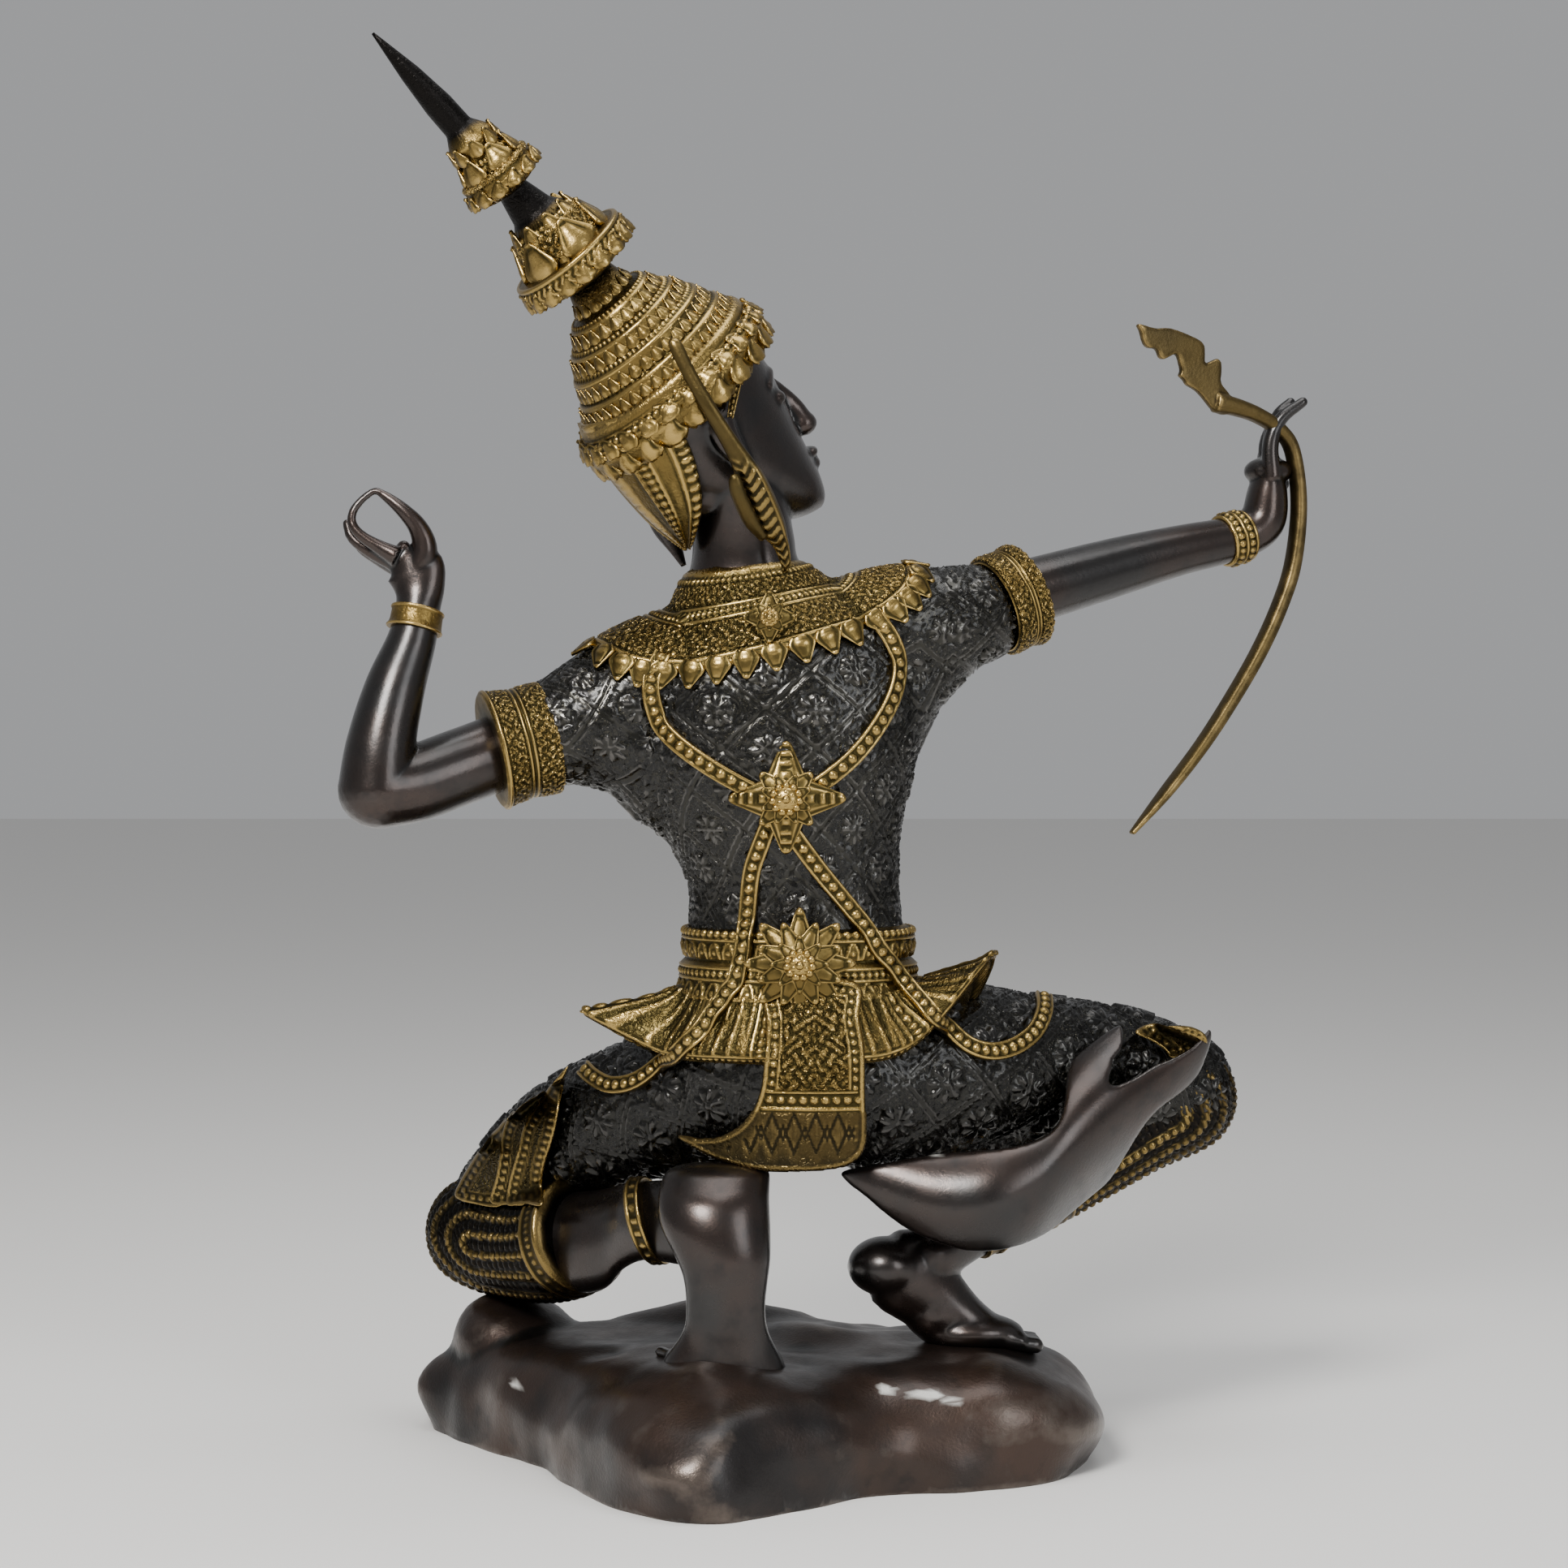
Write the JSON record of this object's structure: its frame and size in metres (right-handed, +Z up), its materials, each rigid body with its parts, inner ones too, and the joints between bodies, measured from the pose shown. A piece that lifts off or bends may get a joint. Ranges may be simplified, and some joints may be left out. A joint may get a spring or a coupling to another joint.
{
  "type": "archer deity figure",
  "caption": "Kneeling archer deity of dark and gilt cast bronze on a rock base, arms drawn apart, tall tiered crown, with a separate curved brass bow held in the raised right hand.",
  "frame": {"origin": "under the middle of the whole object, on the plane that the rock base stands on", "axes": "+Z up; the figure's back looks along -Y; its right arm with the bow reaches along +X"},
  "size_m": [0.4818, 0.2776, 0.6916],
  "materials": {
    "dark_bronze": "dark brown-black patina, satin to glossy, worn on the edges",
    "worn_gilt": "olive gold on cast bronze, bright on the high points and dark green-brown in the hollows",
    "worn_brass": "satin olive brass with darker edges"
  },
  "bodies": {
    "root": {"figure_on_rock": "dark_bronze", "bow": "worn_brass"}
  },
  "joints": []
}
